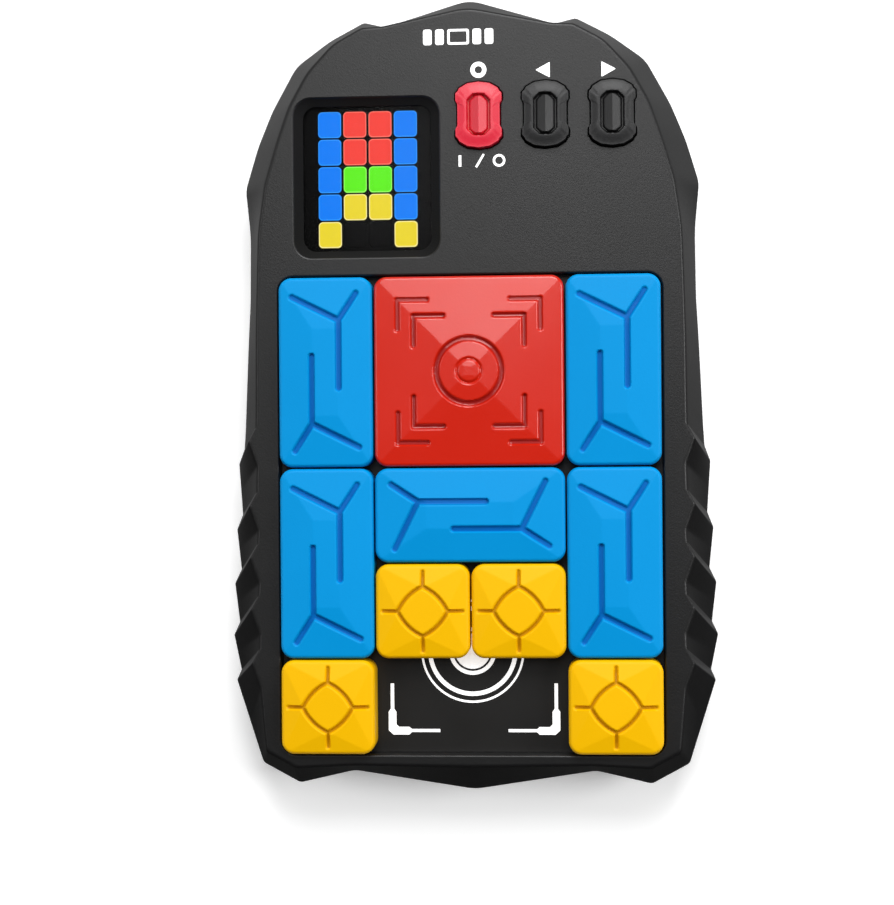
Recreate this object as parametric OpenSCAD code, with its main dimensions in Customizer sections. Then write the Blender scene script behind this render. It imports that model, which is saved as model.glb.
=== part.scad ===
/* [Board] */
// Pitch of the square cells of the playing board
cell = 22; // [20:0.5:24]
// Gap left between neighbouring tiles
tile_gap = 0.4; // [0.2:0.1:0.8]
// Room between the outer tiles and the tray wall
tray_play = 0.5; // [0.3:0.1:1]
// Height of a tile's straight sides
tile_side = 7.35; // [6.5:0.05:8]
// Rise of the crown in the middle of a tile
tile_crown = 0.9; // [0.5:0.1:1.2]
// Radius of a tile's upright corners
tile_corner = 3; // [1:0.5:4]
// Width of the long grooves in the tiles
groove_w = 1.1; // [0.6:0.1:1.4]
// Height of the board's centre on the face, measured from the middle of the case
board_y = -28; // [-30:1:-26]

/* [Case] */
// Height of the flat face above the surface that the case lies on
face_z = 24; // [23.8:0.1:25]
// Height of the joint between the two shells
seam_z = 12.2; // [11.8:0.1:12.6]
// Thickness of the shell walls
wall = 2; // [1.8:0.1:2.4]
// Height of the back face above the surface
back_z = 0.8; // [0.6:0.1:1]
// Depth of the tray below the face, down to the mat
tray_depth = 4.4; // [4:0.1:5]

/* [Display] */
// Width of the recess around the display
window_w = 34; // [33:0.5:35]
// Height of the recess around the display
window_l = 37; // [36.5:0.5:38]
// Middle of the display across the case
window_x = -23.5; // [-24:0.5:-23]
// Middle of the display along the case
window_y = 50; // [49.5:0.5:50.5]
// Pitch of the lamps across the display
lamp_dx = 5.9; // [5.6:0.1:6]
// Pitch of the lamps along the display
lamp_dy = 6.4; // [6.2:0.1:6.5]

/* [Buttons] */
// Middle of the power button across the case
button_x = 2.6; // [2:0.1:3]
// Middle of the buttons along the case
button_y = 63.8; // [63:0.1:64.5]
// Pitch of the three buttons
button_pitch = 15.3; // [14.8:0.1:15.6]
// How far a button stands out of the face
button_rise = 1.8; // [1.2:0.1:2.2]

/* [Hidden] */
$fn = 48;
cut = 1; // how far a cutting solid runs past the face that it cuts

// Colours of the moulded and metal pieces
case_black = [0.13, 0.13, 0.14];
tile_blue = [0.02, 0.62, 0.95];
tile_red = [0.84, 0.16, 0.13];
tile_yellow = [0.98, 0.79, 0.04];
lamp_green = [0.3, 0.9, 0.1];
board_green = [0.06, 0.36, 0.2];
steel_grey = [0.72, 0.73, 0.75];
rubber_grey = [0.2, 0.2, 0.2];
chip_black = [0.08, 0.08, 0.09];

// Case outline, right half from the bottom to the top: the widest line at the seam
foot_rim = [[0, -93], [28.5, -88.6], [41.5, -91.6], [50.3, -86.8]];
upper_rim = [[54, -8], [53.1, 13], [52.6, 22], [52.4, 38], [53.5, 49], [50.5, 59], [47, 67.5],
    [41.2, 78], [33, 84], [25, 88.2], [20, 87], [0, 93]];
// The edge of the flat face, point for point beside the widest line
foot_edge = [[0, -85.2], [27.5, -84.8], [41, -85.4], [47.6, -82.2]];
upper_edge = [[49.6, -4], [49.5, 13], [49.3, 22], [48.8, 38], [46.8, 49], [43.3, 59],
    [40.3, 66.5], [36.4, 74], [31, 80.5], [24.5, 84.3], [19.5, 84.6], [0, 88.5]];
// Grip teeth from the lowest up: ridge start on the face, the notch and the tip below it
teeth = [
    [[49.3, -59], [55.4, -64.8], [56.5, -67.2]],
    [[49.4, -46.5], [55.7, -53.5], [57.1, -56.5]],
    [[49.5, -34.5], [55.2, -41], [56.8, -44.3]],
    [[49.6, -22.5], [54.8, -28], [56.2, -31.5]],
    [[49.7, -7.5], [54.3, -12.5], [55.6, -16]]];
tooth_shoulder = [1.8, -3.2]; // from the ridge start to the top of the tooth's facet
tooth_heel = [-0.3, -9]; // from the ridge start to the inner corner of the tooth's facet

function below_tip(k) = (teeth[k][2] + (k > 0 ? teeth[k - 1][1] : foot_rim[3])) / 2;
function tooth_rim(k) = [below_tip(k), teeth[k][2], teeth[k][1]];
function tooth_edge(k) = [teeth[k][0] + tooth_heel, teeth[k][0] + tooth_shoulder, teeth[k][0]];
tooth_numbers = [0 : len(teeth) - 1];
half_rim = concat(foot_rim, [for (k = tooth_numbers) each tooth_rim(k)], upper_rim);
half_edge = concat(foot_edge, [for (k = tooth_numbers) each tooth_edge(k)], upper_edge);

// Whole outline from its right half, and an outline drawn in by about `d` all round
function both_sides(half) =
    concat(half, [for (i = [len(half) - 2 : -1 : 1]) [-half[i][0], half[i][1]]]);
function drawn_in(outline, d) = [for (p = outline) [p[0] * (1 - d / 52), p[1] * (1 - d / 90)]];
rim = both_sides(half_rim);
edge = both_sides(half_edge);

// Tray, mat and tiles
columns = 4;
rows = 5;
tray_w = columns * cell - tile_gap + 2 * tray_play;
tray_l = rows * cell - tile_gap + 2 * tray_play;
tray_wall = 1.4;
tray_corner = tile_corner + tray_play;
under_face = face_z - wall;
mat_t = 0.2;
mat_top = face_z - tray_depth;
tray_floor = mat_top - mat_t;
tray_under = tray_floor - tray_wall;
rest_gap = 0.05; // air under a tile at rest
tile_z = mat_top + rest_gap;
tile_h = tile_side + tile_crown;
groove_floor = tile_side - 0.1;
magnet_r = 4;
magnet_t = 2.4;
magnet_lift = 0.15;
function cell_x(c) = (c - (columns - 1) / 2) * cell;
function cell_y(r) = board_y + (r - (rows - 1) / 2) * cell;

// Spare tile wells in the back
well_y = -35;
well_play = 0.3;
well_wall = 2;
spare_recess = 0.5;
well_w = cell - tile_gap + 2 * well_play;
well_long = 2 * cell - tile_gap + 2 * well_play;
well_dx = well_w + well_wall - 0.6;
well_dy = (well_w + well_wall) / 2;
well_top = back_z + spare_recess + tile_h + rest_gap;
well_roof = 1.2;
scoop_r = 7;
scoop_z = back_z + 5;

// Battery bay
bay_x = -7;
bay_y = 48;
bay_w = 51;
bay_l = 34;
bay_top = 13.8;
bay_wall = 1.4;
aaa_r = 5.2;
aaa_len = 43.3;
aaa_shift = 2.1; // toward the contact at the button end
aaa_pitch = 11.2;
door_w = 62;
door_l = 40;
door_t = 2;
door_play = 0.3;
door_ledge = back_z + door_t + 0.1;
door_screw_dx = 28.2;
door_screw_r = 1.25;

// Shell screws: lower four under the tray, upper three beside and above the board
lower_screws = [[41.5, -76], [-41.5, -76], [41.5, -8], [-41.5, -8]];
upper_screws = [[44.6, 38], [-44.6, 38], [0, 82.4]];
shell_screws_at = concat(lower_screws, upper_screws);
boss_r = 2.8;
screw_r = 1.25;
pilot_r = 1.3;
head_r = 2.7;
head_z = 2.2;
head_t = 1.8;
shell_screw_len = 12.6;

// Boards
board_z = 16.5;
board_t = 1.6;
board_top = board_z + board_t;
board_screws_at = [[-3, 33], [40, 33], [-25.5, 75.6], [25.5, 75.6]];
sensor_z = 15.6;
sensor_t = 1.2;
plate_t = 0.5;
sensor_w = 76;
sensor_l = 104;
sensor_screws_at = [for (x = [-22, 22], y = [-33, 33]) [x, board_y + y]];
post_r = 2.4;
board_screw_r = 0.95;
board_pilot_r = 1;

// Display stack
lens_t = 1.1;
lens_w = 35;
lens_l = 38;
lens_corner = 5.4;
ring_z = 19;
lens_z = under_face - lens_t - 0.05;
grid_z = board_top + 0.1;
grid_top = lens_z - 0.1;
lamp_w = 5.3;
lamp_l = 6;
lamp_t = 0.9;
lamp_corner = 0.9;
bevel = [4.2, 3.4]; // how much narrower the recess is at its foot

// Buttons and switches
cap_quarter = [[5, 0], [5, 1.8], [5.5, 3.2], [5.4, 5], [3.7, 5.9], [3, 7.3], [0, 7.9]];
cap_foot = 20.4;
flange_t = 1;
flange_out = 0.8;
cap_play = 0.3;
flange_room = 1.7; // clears the flange where the case narrows
switch_w = 6;
switch_top = 19.6;
plunger_r = 1.5;
plunger_foot = 19;
button_at = [for (i = [0 : 2]) [button_x + i * button_pitch, button_y]];

// Feet
foot_r = 3.5;
foot_sink = 0.5;
feet_at = [[29, 76], [-29, 76], [31, -79], [-31, -79]];

// Speaker
speaker_at = [35, 48];
speaker_r = 9;
grille_r = 1;
grille_ring = 5;

// ---------- shared shapes ----------

// Solid between stacked outlines of the same point count: [[z, outline], ...] from below
module loft(levels) {
    n = len(levels[0][1]);
    top = (len(levels) - 1) * n;
    points = [for (l = levels) each [for (p = l[1]) [p[0], p[1], l[0]]]];
    sides = [for (l = [0 : len(levels) - 2], i = [0 : n - 1]) each [
        [l * n + i, l * n + n + i, l * n + (i + 1) % n],
        [l * n + (i + 1) % n, l * n + n + i, l * n + n + (i + 1) % n]]];
    floor_face = [[for (i = [0 : n - 1]) i]];
    roof_face = [[for (i = [n - 1 : -1 : 0]) top + i]];
    polyhedron(points, concat(sides, floor_face, roof_face));
}

// The part of its children between two heights, so that both ends are single flat faces
module between(low, high) {
    intersection() {
        children();
        translate([-100, -100, low]) cube([200, 200, high - low]);
    }
}

// Rounded rectangle, centred on X and Y
module pad(w, l, h, r) {
    linear_extrude(h) union() {
        square([w - 2 * r, l], center = true);
        square([w, l - 2 * r], center = true);
        for (x = [-1, 1], y = [-1, 1]) translate([x * (w / 2 - r), y * (l / 2 - r)]) circle(r);
    }
}

// Box centred on X and Y
module slab(w, l, h) {
    translate([-w / 2, -l / 2, 0]) cube([w, l, h]);
}

// Round-ended stroke through a list of points
module stroke(points, w, h) {
    for (p = points) translate(p) cylinder(h = h, d = w + 0.06, $fn = 24);
    for (i = [0 : len(points) - 2]) {
        run = points[i + 1] - points[i];
        translate(points[i]) rotate([0, 0, atan2(run[1], run[0])])
            translate([0, -w / 2, 0]) cube([norm(run), w, h]);
    }
}

// Places its child at each point of a list
module at_each(points) {
    for (p = points) translate([p[0], p[1], 0]) children();
}

// ---------- tiles ----------

// Tile blank: straight sides and a crown that rises to a small raised area
module tile_blank(w, l, raised) {
    skin = 0.02;
    intersection() {
        pad(w, l, tile_h, tile_corner);
        union() {
            slab(w, l, tile_side);
            hull() {
                translate([0, 0, tile_side - skin]) slab(w, l, skin);
                translate([0, 0, tile_h - skin]) linear_extrude(skin) polygon(raised);
            }
        }
    }
}

// Pockets for the magnets, from below
module magnet_pockets(places) {
    at_each(places) translate([0, 0, -cut])
        cylinder(h = cut + magnet_lift + magnet_t + 0.1, r = magnet_r + 0.1);
}

module magnets(places) {
    color(steel_grey) at_each(places) translate([0, 0, magnet_lift])
        cylinder(h = magnet_t, r = magnet_r);
}

function rect_points(w, l) = [[-w / 2, -l / 2], [w / 2, -l / 2], [w / 2, l / 2], [-w / 2, l / 2]];
one_place = [[0, 0]];
two_places = [[0, -cell / 2], [0, cell / 2]];
four_places = [for (x = [-1, 1], y = [-1, 1]) [x, y] * cell / 2];
single = cell - tile_gap;
double = 2 * cell - tile_gap;

// Upper half of the branch pattern: its other half is the same turned by half a turn
module branch() {
    knee = [3.1, 11.9];
    for (tip = [[-7.7, 17.3], [7.1, 18.1], [3.1, -3.7]]) stroke([tip, knee], groove_w, tile_h);
}

module blue_tile() {
    color(tile_blue) difference() {
        tile_blank(single, double, rect_points(6, 20));
        translate([0, 0, groove_floor]) {
            branch();
            rotate([0, 0, 180]) branch();
        }
        magnet_pockets(two_places);
    }
}

// Corner mark: an L with its corner at (p, p)
module corner_mark(p) {
    arm = 6.8;
    stroke([[p - arm, p], [p, p], [p, p - arm]], groove_w - 0.1, tile_h);
}

module red_tile() {
    ring_r = 8;
    disc_r = 3;
    color(tile_red) difference() {
        tile_blank(double, double, rect_points(2, 2));
        translate([0, 0, groove_floor]) {
            for (a = [0 : 90 : 270]) rotate([0, 0, a]) {
                corner_mark(16.4);
                corner_mark(12.7);
            }
            difference() {
                cylinder(h = tile_h, r = ring_r);
                cylinder(h = tile_h, r = ring_r - groove_w);
            }
            translate([0, 0, 0.4]) difference() {
                cylinder(h = tile_h, r = disc_r);
                cylinder(h = tile_h, r = disc_r - 0.5);
            }
        }
        magnet_pockets(four_places);
    }
}

module yellow_tile() {
    tip = 5.5;
    bulge = 3.3;
    reach = 9;
    narrow = groove_w - 0.2;
    color(tile_yellow) difference() {
        tile_blank(single, single, [[tip, 0], [0, tip], [-tip, 0], [0, -tip]]);
        translate([0, 0, groove_floor]) for (a = [0 : 90 : 270]) rotate([0, 0, a]) {
            stroke([[tip, 0], [bulge, bulge], [0, tip]], narrow, tile_h);
            stroke([[tip, 0], [reach, 0]], narrow, tile_h);
        }
        magnet_pockets(one_place);
    }
}

// Places a board tile, or a spare lying crown outward in its well
module on_board(c, r, turn = 0) {
    translate([cell_x(c), cell_y(r), tile_z]) rotate([0, 0, turn]) children();
}
module in_well(x, y) {
    translate([x, y, well_top - rest_gap]) rotate([0, 180, 0]) children();
}
blue_well_x = [-well_dx, well_dx];
yellow_well_y = [well_y + well_dy, well_y - well_dy];

// ---------- shells ----------

module front_outer() {
    between(seam_z, face_z)
        loft([[seam_z - cut, rim], [seam_z, rim], [face_z, edge], [face_z + cut, edge]]);
}

module front_hollow() {
    between(seam_z - cut / 2, under_face) loft([[seam_z - cut, drawn_in(rim, wall)],
        [seam_z, drawn_in(rim, wall)], [under_face, drawn_in(edge, wall + 0.4)],
        [under_face + cut, drawn_in(edge, wall + 0.4)]]);
}

module back_outer() {
    between(back_z, seam_z) loft([[back_z - cut, drawn_in(rim, 5)], [back_z, drawn_in(rim, 5)],
        [back_z + 2.6, drawn_in(rim, 1.6)], [seam_z, rim], [seam_z + cut, rim]]);
}

module back_hollow() {
    floor_z = back_z + wall;
    between(floor_z, seam_z + cut / 2) loft([[floor_z - cut, drawn_in(rim, 6.6)],
        [floor_z, drawn_in(rim, 6.6)], [floor_z + 2, drawn_in(rim, wall + 2)],
        [seam_z, drawn_in(rim, wall)], [seam_z + cut, drawn_in(rim, wall)]]);
}

module cap_outline(grow) {
    q = [for (p = cap_quarter) p * (1 + grow / 6)];
    n = len(q);
    polygon(concat(q, [for (i = [n - 2 : -1 : 0]) [-q[i][0], q[i][1]]],
        [for (i = [1 : n - 1]) -q[i]], [for (i = [n - 2 : -1 : 1]) [q[i][0], -q[i][1]]]));
}

module window_recess() {
    skin = 0.02;
    translate([window_x, window_y, 0]) hull() {
        translate([0, 0, face_z + 0.1]) pad(window_w, window_l, skin, 4.5, $fn = 32);
        translate([0, 0, under_face - 0.1])
            pad(window_w - bevel[0], window_l - bevel[1], skin, 3, $fn = 32);
    }
}

// Tray box, bosses and the ring around the display, inside the front shell
module front_ribs() {
    translate([0, board_y, tray_under]) pad(tray_w + 2 * tray_wall, tray_l + 2 * tray_wall,
        under_face - tray_under + 0.5, tray_corner + tray_wall);
    at_each(lower_screws) translate([0, 0, seam_z]) cylinder(h = tray_under - seam_z + 0.5, r = boss_r);
    at_each(upper_screws) translate([0, 0, seam_z]) cylinder(h = under_face - seam_z + 0.5, r = boss_r);
    at_each(board_screws_at) translate([0, 0, board_top])
        cylinder(h = under_face - board_top + 0.5, r = post_r);
    at_each(sensor_screws_at) translate([0, 0, sensor_z + sensor_t])
        cylinder(h = tray_under - sensor_z - sensor_t + 0.5, r = post_r);
    translate([window_x, window_y, ring_z])
        pad(lens_w + 1.9, lens_l + 1.9, under_face - ring_z + 0.1, lens_corner + 0.9);
}

module front_shell() {
    color(case_black) difference() {
        union() {
            difference() {
                front_outer();
                front_hollow();
            }
            front_ribs();
        }
        translate([0, board_y, tray_floor]) pad(tray_w, tray_l, face_z, tray_corner);
        translate([window_x, window_y, ring_z - cut])
            pad(lens_w + 0.2, lens_l + 0.2, under_face - ring_z + cut - 0.02, lens_corner + 0.1);
        window_recess();
        at_each(button_at) translate([0, 0, under_face - cut])
            linear_extrude(wall + 2 * cut) cap_outline(cap_play);
        at_each(button_at) translate([0, 0, cap_foot - cut])
            linear_extrude(under_face - cap_foot + cut - 0.2) cap_outline(flange_room);
        at_each(shell_screws_at) translate([0, 0, seam_z - cut]) cylinder(h = cut + 4.6, r = pilot_r);
        at_each(board_screws_at) translate([0, 0, board_top - cut])
            cylinder(h = cut + 3, r = board_pilot_r);
        at_each(sensor_screws_at) translate([0, 0, sensor_z]) cylinder(h = 3.2, r = board_pilot_r);
    }
}

module wells() {
    deep = cut + well_top - back_z;
    for (x = blue_well_x) translate([x, well_y, back_z - cut]) pad(well_w, well_long, deep, tile_corner);
    for (y = yellow_well_y) translate([0, y, back_z - cut]) pad(well_w, well_w, deep, tile_corner);
}

// Finger scoops beside the wells, grown by `more` to make their walls
module scoops(more) {
    for (s = [-1, 1]) {
        translate([s * (well_dx + well_w / 2), well_y, back_z - cut + more])
            cylinder(h = cut + scoop_z - back_z, r = scoop_r + more);
        translate([0, well_y + s * (well_dy + well_w / 2), back_z - cut + more])
            cylinder(h = cut + scoop_z - back_z, r = scoop_r + more);
    }
}

module back_shell() {
    color(case_black) difference() {
        union() {
            difference() {
                back_outer();
                back_hollow();
            }
            translate([0, well_y, back_z]) slab(2 * well_dx + well_w + 3,
                2 * well_dy + well_w + 3, well_top + well_roof - back_z);
            scoops(bay_wall);
            translate([bay_x, bay_y, back_z]) slab(door_w + 3, door_l + 3, 4.2);
            translate([bay_x, bay_y, back_z])
                slab(bay_w + 2 * bay_wall, bay_l + 2 * bay_wall, bay_top + 1.2 - back_z);
            for (s = [-1, 1]) translate([bay_x + s * door_screw_dx, bay_y, back_z])
                cylinder(h = 9, r = 2.7);
            at_each(shell_screws_at) translate([0, 0, back_z]) cylinder(h = seam_z - back_z, r = 4.2);
            translate([speaker_at[0], speaker_at[1], back_z]) cylinder(h = 4, r = speaker_r + 1.5);
        }
        wells();
        scoops(0);
        translate([bay_x, bay_y, back_z - cut]) pad(door_w, door_l, cut + door_ledge - back_z, 2.5);
        translate([bay_x, bay_y, back_z]) slab(bay_w, bay_l, bay_top - back_z);
        for (s = [-1, 1]) translate([bay_x + s * door_screw_dx, bay_y, back_z])
            cylinder(h = 8, r = door_screw_r + 0.05);
        at_each(shell_screws_at) {
            translate([0, 0, back_z - cut]) cylinder(h = cut + head_z + head_t - back_z, r = head_r + 0.2);
            translate([0, 0, back_z]) cylinder(h = seam_z, r = screw_r + 0.35);
        }
        at_each(feet_at) translate([0, 0, back_z - cut]) cylinder(h = cut + foot_sink, r = foot_r + 0.1);
        translate([speaker_at[0], speaker_at[1], back_z + wall]) cylinder(h = seam_z, r = speaker_r + 0.1);
        translate([speaker_at[0], speaker_at[1], 0]) {
            cylinder(h = 2 * wall, r = grille_r);
            for (a = [0 : 60 : 300]) rotate([0, 0, a]) translate([grille_ring, 0, 0])
                cylinder(h = 2 * wall, r = grille_r);
        }
    }
}

// ---------- tray and display ----------

module tray_mat() {
    color([0.09, 0.08, 0.08]) translate([0, board_y, tray_floor])
        pad(tray_w - 0.4, tray_l - 0.4, mat_t, tray_corner);
}

module display_lens() {
    color([0.2, 0.2, 0.22, 0.6]) translate([window_x, window_y, lens_z])
        pad(lens_w, lens_l, lens_t, lens_corner);
}

// Lamp place: column 0 is the left one, row 0 the lowest
function lamp_at(c, r) = [window_x + (c - 1.5) * lamp_dx, window_y + (r - 2) * lamp_dy];
all_lamps = [for (c = [0 : 3], r = [0 : 4]) [c, r]];

module light_grid() {
    color(chip_black) difference() {
        translate([window_x, window_y, grid_z])
            pad(lens_w - 0.2, lens_l - 0.2, grid_top - grid_z, lens_corner - 0.1);
        for (l = all_lamps) translate([0, 0, grid_z - cut]) at_each([lamp_at(l[0], l[1])])
            pad(lamp_w + 0.1, lamp_l + 0.1, grid_top, lamp_corner);
    }
}

// Lamp caps of one colour
module lamp_caps(lamps, tint) {
    color(tint) for (l = lamps) translate([0, 0, grid_top - lamp_t]) at_each([lamp_at(l[0], l[1])])
        pad(lamp_w, lamp_l, lamp_t, lamp_corner);
}
blue_lamps = [for (c = [0, 3], r = [1 : 4]) [c, r]];
red_lamps = [for (c = [1, 2], r = [3, 4]) [c, r]];
green_lamps = [for (c = [1, 2]) [c, 2]];
yellow_lamps = [[1, 1], [2, 1], [0, 0], [3, 0]];

module led_chips() {
    color([0.95, 0.95, 0.9]) for (l = all_lamps) translate([0, 0, board_top])
        at_each([lamp_at(l[0], l[1])]) slab(2, 2, 0.7);
}

// ---------- boards ----------

module main_board() {
    color(board_green) difference() {
        translate([0, 0, board_z]) linear_extrude(board_t)
            polygon([[-41, 30], [41, 30], [41, 60], [31, 78], [-31, 78], [-41, 60]]);
        at_each(board_screws_at) translate([0, 0, board_z - cut])
            cylinder(h = board_t + 2 * cut, r = board_screw_r + 0.15);
    }
}

module board_chips() {
    color(chip_black) {
        translate([22, 42, board_top]) slab(10, 10, 1.4);
        translate([8, 44, board_top]) slab(5, 6, 1.2);
        translate([36, 44, board_top]) slab(4, 5, 1.2);
        translate([0, 74, board_z - 1]) slab(8, 5, 1);
    }
}

module button_switches() {
    color(steel_grey) at_each(button_at) difference() {
        translate([0, 0, board_top]) slab(switch_w, switch_w, switch_top - board_top);
        translate([0, 0, board_top + 0.2]) cylinder(h = 4, r = plunger_r + 0.08);
    }
}

module sensor_board() {
    color(board_green) difference() {
        translate([0, board_y, sensor_z]) slab(sensor_w, sensor_l, sensor_t);
        at_each(sensor_screws_at) translate([0, 0, sensor_z - cut])
            cylinder(h = sensor_t + 2 * cut, r = board_screw_r + 0.15);
    }
}

module hall_sensors() {
    color(chip_black) for (c = [0 : columns - 1], r = [0 : rows - 1])
        translate([cell_x(c), cell_y(r), sensor_z + sensor_t]) slab(3, 2.4, 1);
}

module tray_steel_plate() {
    color(steel_grey) difference() {
        translate([0, board_y, sensor_z - plate_t]) slab(sensor_w, sensor_l, plate_t);
        at_each(sensor_screws_at) translate([0, 0, sensor_z - plate_t - cut])
            cylinder(h = plate_t + 2 * cut, r = board_screw_r + 0.15);
    }
}

module board_ribbon() {
    low = board_z - 0.3;
    high = sensor_z + sensor_t;
    color([0.85, 0.82, 0.7]) translate([1, 0, 0]) rotate([90, 0, 90]) linear_extrude(12)
        polygon([[36, low], [36, board_z], [29.8, board_z], [25.2, high + 0.3], [18.2, high + 0.3],
            [18.2, high], [25.6, high], [29.4, low]]);
}

module speaker() {
    color(steel_grey) translate([speaker_at[0], speaker_at[1], back_z + wall]) {
        cylinder(h = 1.6, r = speaker_r);
        cylinder(h = 4.4, r = 5.5);
    }
}

// ---------- batteries ----------

module aaa_cells() {
    color([0.25, 0.3, 0.34]) for (i = [-1 : 1])
        translate([bay_x, bay_y + i * aaa_pitch, bay_top - aaa_r - 0.2])
        rotate([0, i == 0 ? -90 : 90, 0]) translate([0, 0, aaa_shift - aaa_len / 2]) {
            cylinder(h = aaa_len, r = aaa_r);
            translate([0, 0, aaa_len]) cylinder(h = 1.2, r = 1.9);
        }
}

module battery_contacts() {
    tab = 0.4;
    tab_w = 8;
    wire = 0.42;
    coil_r = 2.6;
    turns = 7;
    rise = 0.77;
    axis_z = bay_top - aaa_r - 0.2;
    color(steel_grey) for (i = [-1 : 1], s = [-1, 1]) {
        translate([bay_x + s * (bay_w / 2 - tab / 2), bay_y + i * aaa_pitch, axis_z - tab_w / 2])
            slab(tab, tab_w, tab_w);
        spring_side = i == 0 ? 1 : -1;
        if (s == spring_side) translate([bay_x + s * bay_w / 2, bay_y + i * aaa_pitch, axis_z])
            rotate([0, -90 * s, 0]) for (k = [0 : turns - 1])
                translate([0, 0, tab + wire + k * rise]) rotate_extrude()
                    translate([coil_r - k * 0.1, 0]) circle(r = wire, $fn = 16);
    }
}

module battery_door() {
    color(case_black) difference() {
        translate([bay_x, bay_y, back_z])
            pad(door_w - 2 * door_play, door_l - 2 * door_play, door_t, 2.2);
        for (s = [-1, 1]) translate([bay_x + s * door_screw_dx, bay_y, back_z - cut]) {
            cylinder(h = 4 * cut, r = door_screw_r + 0.05);
            cylinder(h = cut + 1.2, r = 2.4);
        }
        for (k = [0 : 3]) translate([bay_x, bay_y + 10 + k * 1.8, back_z - cut])
            slab(14 - 2.4 * k, 0.8, cut + 0.5);
    }
}

module battery_door_screws() {
    color(steel_grey) for (s = [-1, 1]) translate([bay_x + s * door_screw_dx, bay_y, back_z]) {
        difference() {
            translate([0, 0, 0.1]) cylinder(h = 1.1, r = 2.2);
            for (a = [0, 90]) rotate([0, 0, a]) translate([0, 0, -cut]) slab(2.6, 0.6, cut + 0.7);
        }
        translate([0, 0, 1.2]) cylinder(h = 6, r = door_screw_r);
    }
}

// ---------- screws, feet and spare plate ----------

// Pan-head screw, head below, tip up
module screw(r, len, hr, ht) {
    difference() {
        cylinder(h = ht, r = hr);
        for (a = [0, 90]) rotate([0, 0, a]) translate([0, 0, -cut])
            slab(hr * 1.2, hr * 0.28, cut + ht * 0.6);
    }
    translate([0, 0, ht]) cylinder(h = len, r = r);
}

module shell_screws() {
    color(steel_grey) at_each(shell_screws_at) translate([0, 0, head_z])
        screw(screw_r, shell_screw_len, head_r, head_t);
}

module board_screws() {
    color(steel_grey) {
        at_each(board_screws_at) translate([0, 0, board_z - 1]) screw(board_screw_r, board_t + 2.6, 1.9, 1);
        at_each(sensor_screws_at) translate([0, 0, sensor_z - plate_t - 1])
            screw(board_screw_r, plate_t + sensor_t + 1.8, 1.9, 1);
    }
}

module rubber_feet() {
    color(rubber_grey) at_each(feet_at) cylinder(h = back_z + foot_sink, r = foot_r);
}

module spare_steel_plate() {
    color(steel_grey) translate([0, well_y, well_top + well_roof]) slab(68, 44, 0.4);
}

// ---------- buttons ----------

// Button cap: shield outline, a retaining flange and an inset lozenge with a ridge
module button_cap(tint) {
    top = face_z + button_rise;
    color(tint) difference() {
        union() {
            translate([0, 0, cap_foot]) linear_extrude(top - cap_foot) cap_outline(0);
            translate([0, 0, cap_foot]) linear_extrude(flange_t) cap_outline(flange_out + cap_play);
        }
        translate([0, 0, top - 0.5]) linear_extrude(cut) difference() {
            polygon([[2.8, -2.6], [2.8, 2.6], [0, 5.6], [-2.8, 2.6], [-2.8, -2.6], [0, -5.6]]);
            square([0.8, 9], center = true);
        }
    }
}

module plunger() {
    color(chip_black) translate([0, 0, plunger_foot]) cylinder(h = cap_foot - plunger_foot, r = plunger_r);
}

// ---------- the nodes ----------

front_shell();
back_shell();
tray_mat();
display_lens();
light_grid();
lamp_caps(blue_lamps, tile_blue);  // blue_pixels
lamp_caps(red_lamps, tile_red);  // red_pixels
lamp_caps(green_lamps, lamp_green);  // green_pixels
lamp_caps(yellow_lamps, tile_yellow);  // yellow_pixels
main_board();
led_chips();
board_chips();
button_switches();
sensor_board();
hall_sensors();
tray_steel_plate();
board_ribbon();
speaker();
aaa_cells();
battery_contacts();
shell_screws();
board_screws();
rubber_feet();
spare_steel_plate();
battery_door();
battery_door_screws();
at_each([button_at[0]]) button_cap(tile_red);  // power_button_cap
at_each([button_at[1]]) button_cap(case_black);  // previous_button_cap
at_each([button_at[2]]) button_cap(case_black);  // next_button_cap
at_each([button_at[0]]) plunger();  // power_plunger
at_each([button_at[1]]) plunger();  // previous_plunger
at_each([button_at[2]]) plunger();  // next_plunger
on_board(1.5, 3.5) red_tile();
on_board(0, 3.5) blue_tile();  // blue_tile_upper_left
on_board(3, 3.5) blue_tile();  // blue_tile_upper_right
on_board(1.5, 2, 90) blue_tile();  // blue_tile_middle
on_board(0, 1.5) blue_tile();  // blue_tile_lower_left
on_board(3, 1.5) blue_tile();  // blue_tile_lower_right
on_board(1, 1) yellow_tile();  // yellow_tile_middle_left
on_board(2, 1) yellow_tile();  // yellow_tile_middle_right
on_board(0, 0) yellow_tile();  // yellow_tile_corner_left
on_board(3, 0) yellow_tile();  // yellow_tile_corner_right
on_board(1.5, 3.5) magnets(four_places);  // red_magnets
on_board(0, 3.5) magnets(two_places);  // blue_upper_left_magnets
on_board(3, 3.5) magnets(two_places);  // blue_upper_right_magnets
on_board(1.5, 2, 90) magnets(two_places);  // blue_middle_magnets
on_board(0, 1.5) magnets(two_places);  // blue_lower_left_magnets
on_board(3, 1.5) magnets(two_places);  // blue_lower_right_magnets
on_board(1, 1) magnets(one_place);  // yellow_middle_left_magnet
on_board(2, 1) magnets(one_place);  // yellow_middle_right_magnet
on_board(0, 0) magnets(one_place);  // yellow_corner_left_magnet
on_board(3, 0) magnets(one_place);  // yellow_corner_right_magnet
in_well(-well_dx, well_y) blue_tile();  // spare_blue_tile_left
in_well(well_dx, well_y) blue_tile();  // spare_blue_tile_right
in_well(0, yellow_well_y[0]) yellow_tile();  // spare_yellow_tile_upper
in_well(0, yellow_well_y[1]) yellow_tile();  // spare_yellow_tile_lower
in_well(-well_dx, well_y) magnets(two_places);  // spare_blue_left_magnets
in_well(well_dx, well_y) magnets(two_places);  // spare_blue_right_magnets
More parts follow.
